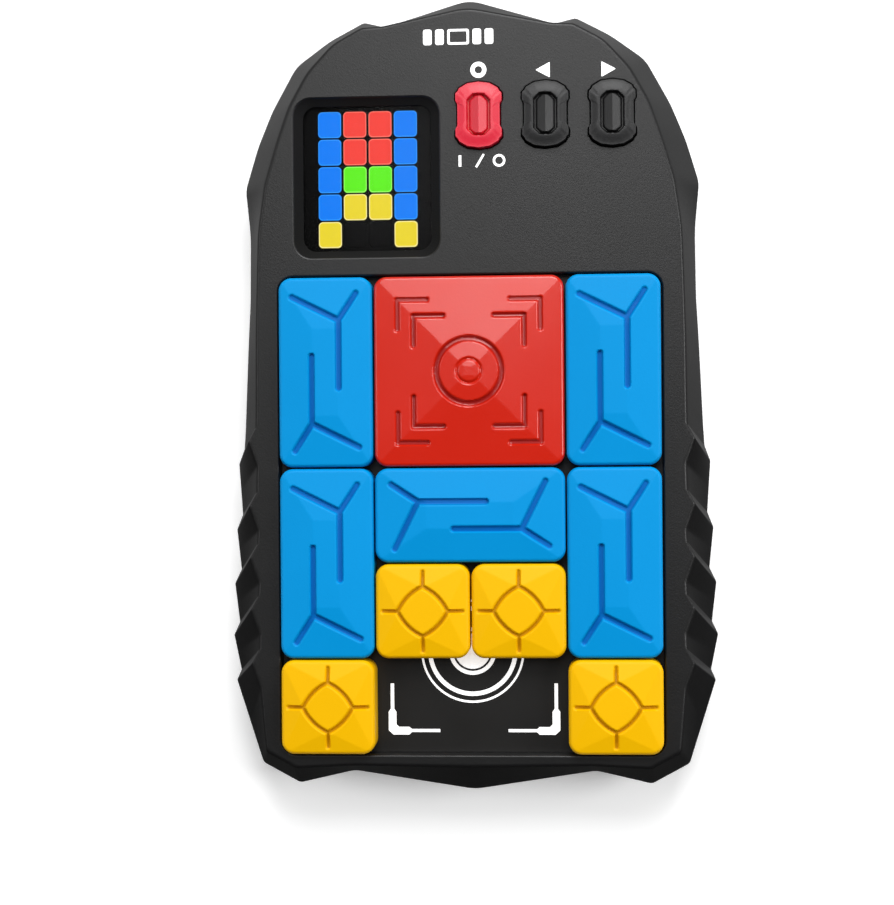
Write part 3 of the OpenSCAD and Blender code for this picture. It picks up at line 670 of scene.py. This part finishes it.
# %% Skin and openings of the back shell
spares = {"spare_blue_tile_left": math.pi, "spare_blue_tile_right": 0.0,
          "spare_yellow_tile_upper": math.pi / 2, "spare_yellow_tile_lower": -math.pi / 2}
wells = [well_rows(node, turn) for node, turn in spares.items()]
DOOR = centre("battery_door")[:2]
DOOR_SCREWS = [DOOR + (side * 28.2, 0) for side in (-1, 1)]
LEDGE_Z, BAY_TOP = 2.9, 13.8
SHELL_SCREWS = [(side * x, y) for x, y in ((41.5, -76), (41.5, -8), (44.6, 38)) for side in (1, -1)]
SHELL_SCREWS += [(0, 82.4)]
FEET = [(side * x, y) for x, y in ((29, 76), (31, -79)) for side in (1, -1)]
SPEAKER = centre("speaker")[:2]
GRILLE = [SPEAKER, *circle(5, SPEAKER, 6)]


under_rim = at_height(rim, SEAM_Z - SEAM_LIP)
foot_start = at_height(smaller(rim, 1.6), 3.4)
foot_corner = at_height(smaller(rim, 4.0), BACK_Z)
flank = [under_rim * (1 - s) + foot_start * s for s in np.linspace(0, 0.85, 8)]
chamfer = (foot_start + foot_corner) / 2
face_edge = at_height(smaller(rim, 4.3), BACK_Z)
rows = [at_height(smaller(rim, 3.4), BACK_INSIDE)]
rows += [at_height(smaller(rim, inset), SEAM_Z - rise) for inset, rise in SEAM_STEPS]
rows += flank + curve_rows(flank[-1], foot_start, chamfer)[1:]
rows += curve_rows(chamfer, foot_corner, face_edge)[1:]
rows += [at_height(smaller(rim, 4.4), BACK_Z)]

recess = oblong_rows(62, 40, 2.5, DOOR,
                     [(0.5, BACK_Z), (0.2, BACK_Z), (0, BACK_Z + 0.2), (0, LEDGE_Z)])
bay = oblong_rows(51, 34, 0.6, DOOR, [(0, LEDGE_Z), (0, BAY_TOP)])
door_bores = [round_rows(at, [(1.3, LEDGE_Z), (1.3, BACK_INSIDE)]) for at in DOOR_SCREWS]
bores = [round_rows(at, [(3.05, BACK_Z), (2.9, BACK_Z + 0.15), (2.9, 4.0), (1.6, 4.0),
                         (1.6, BACK_INSIDE)]) for at in SHELL_SCREWS]
sockets = [round_rows(at, [(3.64, BACK_Z), (3.6, BACK_Z + 0.05), (3.6, BACK_Z + 0.5)])
           for at in FEET]
grille = [round_rows(at, [(1.3, BACK_Z), (1.08, BACK_Z + 0.08), (1.0, BACK_Z + 0.3), (1.0, 2.7)])
          for at in GRILLE]
well_block = rounded(72.4, 49.4, 1.0, (0, centre("spare_steel_plate")[1]))
bay_block = rounded(53.2, 36.8, 1.0, DOOR)

blind = [*wells, *sockets, *grille, bay]
through = [*door_bores, *bores]
parts = [*map(strip, [rows, recess, *blind, *through]), *map(lid, blind),
         lid(rows, -1, flat([*wells, recess, *bores, *sockets, *grille])),
         lid(recess, -1, flat([bay, *door_bores]))]
for block, top in ((well_block, 10.8), (bay_block, 15.0)):
    parts += [strip([at_height(block, BACK_INSIDE), at_height(block, top)]), fill(block, [], top)]
parts += [lid(rows, 0, [well_block, bay_block, *flat(through, -1)])]
case_back = new_piece("case_back", parts, 17)
settle(case_back, "case", "console", "black_abs", "back_shell")

# %% [markdown]
# ## Battery door and feet
# The door is a thin plate with softened edges, four sunk finger ribs and two screw seats.
# A foot is a turned rubber disc with a domed edge that rests on the table.

# %% Door plate
DOOR_TOP = BACK_Z + 2.0
ribs = [rounded(14 - 2.4 * k, 0.8, 0.3, DOOR + (0, 10 + 1.8 * k), 5, 2) for k in range(4)]
rib_rows = [[at_height(rib, z) for z in (BACK_Z, BACK_Z + 0.5)] for rib in ribs]
rows = oblong_rows(61.4, 39.4, 2.2, DOOR, [(0.0, DOOR_TOP), (0.0, BACK_Z + 0.4),
                                           (-0.04, BACK_Z + 0.12), (-0.15, BACK_Z)])
seats = [round_rows(at, [(2.3, BACK_Z), (2.25, BACK_Z + 0.1), (2.25, 2.0),
                         (1.3, 2.0), (1.3, DOOR_TOP)]) for at in DOOR_SCREWS]
parts = [*map(strip, [rows, *rib_rows, *seats]), *map(lid, rib_rows),
         lid(rows, -1, flat([*rib_rows, *seats])), lid(rows, 0, flat(seats, -1))]
door = settle(new_piece("door_plate", parts), "case", "battery_door", "black_abs", "battery_door")

# %% Rubber feet
parts = []
for at in FEET:
    foot = round_rows(at, [(3.5, BACK_Z + 0.5), (3.5, 0.5), (3.4, 0.2), (3.1, 0.04), (2.7, 0.0)])
    parts += [strip(foot), lid(foot, 0), lid(foot)]
feet = settle(new_piece("domed_feet", parts), "rubber", "console", "foot_rubber", "rubber_feet")

# %% [markdown]
# ## Tiles
# A tile has straight sides, rounded corners, a low crown and grooves that a fingertip can
# feel. Its top is one sheet: the height at each point is the tile's, less what the crown
# falls towards the edge, the rounding there and the grooves. A square grid is drawn into
# the rounded corners, and its lines are close together where the edge turns over. Only a
# groove's floor carries a mark, which darkens it as painted shade, so that its walls keep
# the plastic's own colour.

# %% Heights of crowns and grooves
TILE_CORNER, TILE_EDGE, GROOVE_SIDE = 3.0, 0.8, 0.42
TILE_TOP = 8.25
GROOVE_LEAST, GROOVE_MOST = 0.15, 0.8
POCKET_R, POCKET_DEEP = 4.1, 2.65
ONE_CELL, TWO_CELLS, HALF_CELL = 21.6, 43.6, 11


def eased(share):
    """Smooth step from 0 to 1."""
    share = np.clip(share, 0, 1)
    return share * share * (3 - 2 * share)


def from_strokes(x, y, strokes):
    """Distance from each point to the nearest of the strokes, each given by its two ends."""
    nearest = np.full(x.shape, 99.0)
    for (ax, ay), (bx, by) in strokes:
        run = np.array([bx - ax, by - ay])
        t = np.clip(((x - ax) * run[0] + (y - ay) * run[1]) / (run @ run), 0, 1)
        nearest = np.minimum(nearest, np.hypot(x - ax - t * run[0], y - ay - t * run[1]))
    return nearest


def turned(strokes, quarter_turns):
    """The same strokes turned about the middle."""
    angle = quarter_turns * math.pi / 2
    c, s = round(math.cos(angle)), round(math.sin(angle))
    return [tuple((c * x - s * y, s * x + c * y) for x, y in stroke) for stroke in strokes]


def cut(distance, width):
    """1 inside a groove of that width and 0 outside, with sloping sides."""
    return eased((width / 2 + GROOVE_SIDE / 2 - distance) / GROOVE_SIDE)


KNEE = (3.1, 11.9)
BRANCH = [((-7.7, 17.3), KNEE), ((7.1, 18.1), KNEE), ((3.1, -3.7), KNEE)]


def blue_top(x, y):
    """Four planes rise from the edges to a flat 6 by 24 ridge, and two branching strokes are
    cut in, each the other turned by half a turn."""
    rise = np.minimum((10.8 - np.abs(x)) / 7.8, (21.8 - np.abs(y)) / 11.8)
    return np.clip(rise, 0, 1), cut(from_strokes(x, y, BRANCH + turned(BRANCH, 2)), 1.3)


def red_top(x, y):
    """A low pyramid, with a ring, a button and two corner marks in each corner cut in."""
    rise = (21.8 - np.maximum(np.abs(x), np.abs(y))) / 20.8
    ends = [((p - 6.8, p), (p, p), (p, p - 6.8)) for p in (16.4, 12.7)]
    corner = [pair for a, b, c in ends for pair in ((a, b), (b, c))]
    marks = [stroke for k in range(4) for stroke in turned(corner, k)]
    out = np.hypot(x, y)
    groove = np.maximum(cut(from_strokes(x, y, marks), 1.0), cut(np.abs(out - 7.45), 1.15))
    return np.clip(rise, 0, 1), np.maximum(groove, 0.55 * cut(np.abs(out - 2.75), 0.5))


def yellow_top(x, y):
    """Planes rise from the edges and corners to a diamond, which is outlined with bulging
    strokes and has a spoke at each tip."""
    rise = np.minimum((10.8 - np.maximum(np.abs(x), np.abs(y))) / 5.3,
                      (21.6 - np.abs(x) - np.abs(y)) / 16.1)
    t = np.linspace(0, 1, 9)[:, None]
    side = np.array([5.7, 0]) * (1 - t)**2 + 2 * 3.9 * t * (1 - t) + np.array([0, 5.7]) * t**2
    petal = [*zip(side[:-1], side[1:]), ((5.7, 0), (9.1, 0))]
    strokes = [stroke for k in range(4) for stroke in turned(petal, k)]
    return np.clip(rise, 0, 1), cut(from_strokes(x, y, strokes), 0.85)


# %% The sheet, its sides and the pockets underneath
def across(width, step=0.21):
    """Grid coordinates over a width: fine near both edges, even between."""
    near = np.array([0, 0.02, 0.06, 0.12, 0.2, 0.3, 0.42, 0.56, 0.72, 0.9])
    reach = width / 2 - near[-1] - step
    middle = np.linspace(-reach, reach, int(2 * reach / step) + 1)
    return np.concatenate([near - width / 2, middle, width / 2 - near[::-1]])


def into_corners(x, y, w, l, r):
    """Moves points of a rectangle into its rounded corners: the larger offset from a corner
    circle's centre becomes the distance."""
    a, b = np.clip(np.abs(x) - w / 2 + r, 0, None), np.clip(np.abs(y) - l / 2 + r, 0, None)
    share = np.maximum(a, b) / np.maximum(np.hypot(a, b), 1e-9)
    return np.sign(x) * (np.abs(x) - a * (1 - share)), np.sign(y) * (np.abs(y) - b * (1 - share))


def round_border(grid):
    """The border of a grid of points, counterclockwise, once round."""
    return np.concatenate([grid[0, :-1], grid[:-1, -1], grid[-1, :0:-1], grid[:0:-1, 0]])


def tile_surface(w, l, crown, top_of, pockets):
    """Points, faces and groove marks of a tile that stands on z = 0, centred. The marks lay
    painted shade on the groove floors.
    """
    gx, gy = np.meshgrid(across(w), across(l))
    x, y = into_corners(gx, gy, w, l, TILE_CORNER)
    depth = np.minimum(w / 2 - np.abs(gx), l / 2 - np.abs(gy))
    over = np.clip(TILE_EDGE - depth, 0, None)
    rise, groove = top_of(x, y)
    drop = TILE_EDGE - np.sqrt(TILE_EDGE**2 - over**2)
    sunk = groove * np.minimum(rise * crown + GROOVE_LEAST, GROOVE_MOST)
    z = TILE_TOP - crown * (1 - rise * eased(depth / 0.5)) - drop - sunk
    ny, nx = x.shape
    base = np.arange(ny - 1)[:, None] * nx + np.arange(nx - 1)
    grid = np.stack([x, y, z], -1)
    quads = np.stack([base, base + 1, base + nx + 1, base + nx], -1)
    border = round_border(grid)
    sides = [border] + [at_height(border[:, :2] * (1 - inset / w * 2, 1 - inset / l * 2), height)
                        for inset, height in ((0, 5.5), (0, 3.5), (0, 0.35), (0.1, 0.1), (0.35, 0))]
    holes = [round_rows(at, [(POCKET_R + 0.2, 0), (POCKET_R, 0.2), (POCKET_R, POCKET_DEEP)])
             for at in pockets]
    parts = [(grid.reshape(-1, 3), quads.reshape(-1, 4)), strip(sides), *map(strip, holes),
             *map(lid, holes), lid(sides, -1, flat(holes))]
    # painted shade: the groove floors take the plastic's darker colour
    marks = np.concatenate([np.clip(groove * 2.2 - 1.2, 0, 1).ravel(),
                            *(np.zeros(len(points)) for points, _ in parts[1:])])
    return parts, marks


both = (-HALF_CELL, HALF_CELL)
KINDS = {
    "red": (TWO_CELLS, TWO_CELLS, 1.5, red_top, [(x, y) for x in both for y in both]),
    "blue": (ONE_CELL, TWO_CELLS, 1.2, blue_top, [(0, y) for y in both]),
    "yellow": (ONE_CELL, ONE_CELL, 1.2, yellow_top, [(0, 0)]),
}
surfaces = {kind: tile_surface(*facts) for kind, facts in KINDS.items()}
print({kind: sum(len(f) for _, f in parts) for kind, (parts, _) in surfaces.items()})

# %% [markdown]
# ### Setting the tiles out
# The same three mouldings make all fourteen tiles. A tile stands at its node's own place,
# and the middle one is turned by a quarter. A spare lies in its well with its crown out of
# the back, so it is turned over about the Y axis.

# %% Place a moulding at each tile node
def placed(parts, node, spare):
    """The parts moved to a node's box: turned over for a spare, and by a quarter turn if the
    node is wider than it is long."""
    low, high = corners(node)
    middle, (wide, long, _) = centre(node), high - low
    moved = []
    for points, faces in parts:
        x, y, z = points.T
        if wide > long + 1:
            x, y = -y, x
        x, z = (-x, high[2] - z) if spare else (x, z + low[2])
        moved.append((np.column_stack([x + middle[0], y + middle[1], z]), faces))
    return moved


tiles = [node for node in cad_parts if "tile" in node]
for node in sorted(tiles):
    kind = next(k for k in KINDS if k in node)
    parts, marks = surfaces[kind]
    piece = new_piece(f"{node}_moulding", placed(parts, node, node.startswith("spare")), 50, marks)
    settle(piece, kind, node, f"{kind}_abs", node)

# %% [markdown]
# ## Buttons
# Each cap is a shield with a rounded edge. A well is sunk into its top, and a gable whose
# ridge runs up the button stands in it, both with cut corners. The cap is one sheet on
# rays from its middle out to the outline.

# %% Button caps as fans of rays
WELL_SUNK, RIDGE_HIGH, RIDGE_HALF, DOME = 1.1, 1.25, 2.5, 0.35


def within_eight(x, y, half_w, half_l, cut_off):
    """How far each point is inside an oblong with its four corners cut off at 45 degrees."""
    straight = np.minimum(half_w - np.abs(x), half_l - np.abs(y))
    return np.minimum(straight, (half_w + half_l - cut_off - np.abs(x) - np.abs(y)) / math.sqrt(2))


def cap_surface(at, foot, top):
    """Points, faces and well marks of a button cap, from its foot's height to its top's. The
    marks lay painted shade in the well, less of it on the gable.
    """
    outline = shield()
    share = np.concatenate([np.linspace(0.04, 0.86, 46), np.linspace(0.87, 0.985, 10)])
    x, y = share[:, None] * outline[:, 0], share[:, None] * outline[:, 1]
    well_depth = eased(within_eight(x, y, 2.8, 4.9, 1.5) / 0.35)
    gable = eased(within_eight(x, y, 2.2, 4.5, 1.3) / 0.3)
    dome = DOME * eased((share[:, None] - 0.62) / 0.38)
    z = top - dome - WELL_SUNK * well_depth + RIDGE_HIGH * (1 - np.abs(x) / RIDGE_HALF) * gable
    sheet = np.stack([x, y, z], -1)
    edge_steps = [(0.992, top - 0.46), (1.0, top - 0.7), (1.0, foot)]
    sides = [at_height(outline * s, h) for s, h in edge_steps]
    rows = [*sheet, *sides]
    ring = np.arange(len(outline))
    middle = (np.vstack([rows[0], rows[0].mean(0)]),
              np.stack([ring, np.roll(ring, -1), np.full(len(ring), len(ring))], -1))
    parts = [strip(rows), middle, lid(rows)]
    plain_points = sum(map(len, sides)) + sum(len(p) for p, _ in parts[1:])
    # painted shade: darker in the sunk well, less so on the gable
    marks = np.concatenate([(well_depth * (1 - 0.7 * gable)).ravel(), np.zeros(plain_points)])
    return [(p + (*at, 0), f) for p, f in parts], marks


CAP_FINISHES = {"power": "red_cap", "previous": "black_cap", "next": "black_cap"}
for at, (name, finish) in zip(BUTTONS, CAP_FINISHES.items()):
    low, high = corners(f"{name}_button_cap")
    parts, marks = cap_surface(at, low[2], high[2])
    piece = new_piece(f"{name}_button_moulding", parts, 40, marks)
    settle(piece, finish, f"{name}_button", finish, f"{name}_button_cap")

# %% [markdown]
# ## Lamp caps
# Eighteen small diffusers shine through the lens, a picture of the first puzzle: blue on
# both sides, and red, green and yellow between. The rolled edge of each cap is its mark,
# where the light looks paler. Two more caps stay dark.

# %% Lamp caps by colour
LAMP_STEP = np.array([5.9, 6.4])
LAMP_W, LAMP_L = LAMP_STEP - (0.4, 0.3)
LAMPS = {
    "blue": [(c, r) for c in (0, 3) for r in (1, 2, 3, 4)],
    "red": [(c, r) for c in (1, 2) for r in (3, 4)],
    "green": [(1, 2), (2, 2)],
    "yellow": [(1, 1), (2, 1), (0, 0), (3, 0)],
}


def lamp_cap(at, low, top):
    """One diffuser: upright sides, a rolled edge and a flat top, with its edge marked."""
    steps = [(0, low, 0), (0, top - 0.3, 0), (-0.04, top - 0.14, 0.6), (-0.14, top - 0.04, 1),
             (-0.24, top, 1), (-0.3, top, 0)]
    rows = oblong_rows(LAMP_W, LAMP_L, 1.05, at, [(grow, z) for grow, z, _ in steps])
    parts = [strip(rows), lid(rows, 0), lid(rows)]
    shown = [np.full(len(rows[0]), m) for _, _, m in steps]
    return parts, np.concatenate([*shown, *(np.zeros(len(p)) for p, _ in parts[1:])])


def lamp_caps(colour, places, node):
    """The caps at (column, row) places of the grid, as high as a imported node."""
    low, high = corners(node)
    made = [lamp_cap(WINDOW + (np.array(place) - (1.5, 2)) * LAMP_STEP, low[2], high[2])
            for place in places]
    parts = [part for cap, _ in made for part in cap]
    return new_piece(f"{colour}_lamp_caps", parts, 40, np.concatenate([m for _, m in made]))


for colour, places in LAMPS.items():
    node = f"{colour}_pixels"
    settle(lamp_caps(colour, places, node), f"lamp_{colour}", "console", f"lamp_{colour}", node)

# %% Unlit caps in the two places that stay dark
settle(lamp_caps("dark", [(1, 0), (2, 0)], node), "grid", "console", "black_grid")

# %% [markdown]
# ## Printed marks
# The white marks are silk-screened: a ring, two arrows and three plain signs on the face,
# a row of tile shapes as a title, and rings with corner marks on the mat. Ink has a
# thickness, so each mark is a very thin plate on the surface.

# %% Plates of ink
INK = 0.04


def plate(outer, holes, z):
    """A plate of ink: top, bottom and every edge."""
    top = z + INK
    walls = [strip([at_height(o, z), at_height(o, top)]) for o in [outer, *holes]]
    return [fill(outer, holes, z), fill(outer, holes, top), *walls]


def band(points, width):
    """Outline of a straight-cornered stroke: up its left side, then back along its right."""
    p = np.array(points, float)
    way = np.diff(p, axis=0)
    way /= np.linalg.norm(way, axis=1)[:, None]
    side = np.column_stack([-way[:, 1], way[:, 0]])
    joined = np.concatenate([side[:1], side[:-1] + side[1:], side[-1:]])
    joined /= (joined * np.concatenate([side[:1], side[:-1], side[-1:]])).sum(1)[:, None]
    return np.concatenate([p - joined * width / 2, (p + joined * width / 2)[::-1]])


def ring(outer, inner, at, z):
    return plate(circle(outer, at, 72), [circle(inner, at, 72)] if inner else [], z)


face = FACE_Z
marks = ring(1.85, 0.85, (2.6, 74.3), face)
for tip, foot, y in ((15.7, 19.0, 74.0), (34.1, 30.8, 73.9)):
    arrow = np.array([[tip, y], [foot, y - 1.8], [foot, y + 1.8]])
    arrow = arrow if tip > foot else arrow[[0, 2, 1]]
    marks += plate(softened(arrow[::-1], np.full(3, 0.25), 4, 2), [], face)
sign = np.array([2.8, 53.4])
marks += plate(band(sign + [[-4.6, -1.3], [-4.6, 1.3]], 0.62), [], face)
marks += plate(band(sign + [[-0.9, -1.5], [0.9, 1.5]], 0.5), [], face)
marks += ring(1.45, 0.9, sign + (4.4, 0), face)
face_print = settle(new_piece("face_print", marks), "ink", "console", "printed_mat")

# %% A row of small tile shapes in place of a title
BADGE = np.array([-1.2, 82.0])
shapes = [(-7.9, 2.0, 3.6), (-5.1, 2.0, 3.6), (-0.8, 5.0, 3.6), (3.5, 2.0, 3.6), (6.3, 2.0, 3.6)]
marks = []
for x, w, l in shapes:
    hollow = [rounded(w - 1.1, l - 1.1, 0.25, BADGE + (x, 0), 4)] if w > 3 else []
    marks += plate(rounded(w, l, 0.5, BADGE + (x, 0), 5), hollow, face)
title_print = settle(new_piece("title_print", marks), "ink", "console", "printed_mat")

# %% Rings and corner marks on the mat
EXIT = (0, -59.8)
marks = ring(4.1, 0, EXIT, MAT_TOP)
for outer, inner in ((5.5, 4.6), (10.4, 9.4), (12.0, 11.5)):
    marks += ring(outer, inner, EXIT, MAT_TOP)
BRACKET = [(-19.2, -67.3), (-18.4, -67.3), (-18.4, -73.2), (-17.9, -73.9), (-17.9, -76.8),
           (-17.3, -77.4), (-14.9, -77.4), (-14.3, -77.9), (-7.7, -77.9), (-7.7, -78.6),
           (-14.3, -78.6), (-14.9, -79.2), (-18.6, -79.2), (-19.7, -78.2), (-19.7, -73.9),
           (-19.2, -73.2)]
left = np.array(BRACKET)
for outline in (left, (left * (-1, 1) + (0.5, 0))[::-1]):
    marks += plate(outline, [], MAT_TOP)
mat_print = settle(new_piece("mat_print", marks), "ink", "console", "printed_mat")

# %% [markdown]
# ## Floor and light
# A large soft lamp stands beyond the display end, so the black face is palest there, and a
# weaker one on each side. One more lamp is seen only in reflections, as a sheen on the
# crowns. The sky is brighter towards the display end, and reflections pass the floor by.

# %% Floor
reach = 3.0
floor_mesh = bpy.data.meshes.new("floor")
floor_corners = [(x * reach, y * reach, 0) for x, y in ((-1, -1), (1, -1), (1, 1), (-1, 1))]
floor_mesh.from_pydata(floor_corners, [], [(0, 1, 2, 3)])
floor = bpy.data.objects.new("floor", floor_mesh)
bpy.context.scene.collection.objects.link(floor)
paper = Finish("floor_paper", Roughness=0.9, Emission_Color=(1, 1, 1, 1), Emission_Strength=0.3)
floor_mesh.materials.append(paper.feed(
    Base_Color=paper.blend(paper.noise(8), tint(0.9, 0.9, 0.9), tint(0.94, 0.94, 0.94))))

# %% Soft lamps and sky
def soft_lamp(name, at, size, power, aim=(0, 0, 0.02)):
    """A square area lamp at a point in metres, turned to face `aim`."""
    data = bpy.data.lights.new(name, "AREA")
    data.size, data.energy = size, power
    lamp = bpy.data.objects.new(name, data)
    lamp.location = at
    lamp.rotation_euler = (Vector(aim) - Vector(at)).to_track_quat("-Z", "Y").to_euler()
    bpy.context.scene.collection.objects.link(lamp)
    return lamp


soft_lamp("display_end", at=(0.1, 0.95, 1.05), size=0.7, power=17.0)
soft_lamp("right_side", at=(0.95, 0.1, 0.8), size=0.5, power=7.5)
soft_lamp("left_side", at=(-0.95, 0.1, 0.8), size=0.5, power=2.5)
sheen = soft_lamp("sheen", at=(0.0, 0.28, 0.95), size=0.3, power=1.45)
sheen.visible_diffuse = False
floor.visible_glossy = False
world = bpy.data.worlds.new("studio")
world.use_nodes = True
sky = world.node_tree
way = sky.nodes.new("ShaderNodeTexCoord")
split = sky.nodes.new("ShaderNodeSeparateXYZ")
ramp = sky.nodes.new("ShaderNodeMapRange")
sky.links.new(way.outputs["Generated"], split.inputs["Vector"])
sky.links.new(split.outputs["Y"], ramp.inputs["Value"])
SKY_RAMP = {"From Min": -0.15, "From Max": 0.2, "To Min": 0.05, "To Max": 0.48}
for socket, value in SKY_RAMP.items():
    ramp.inputs[socket].default_value = value
sky.nodes["Background"].inputs["Color"].default_value = (1, 1, 1, 1)
sky.links.new(ramp.outputs["Result"], sky.nodes["Background"].inputs["Strength"])
bpy.context.scene.world = world
bpy.context.scene.view_settings.view_transform = "Standard"
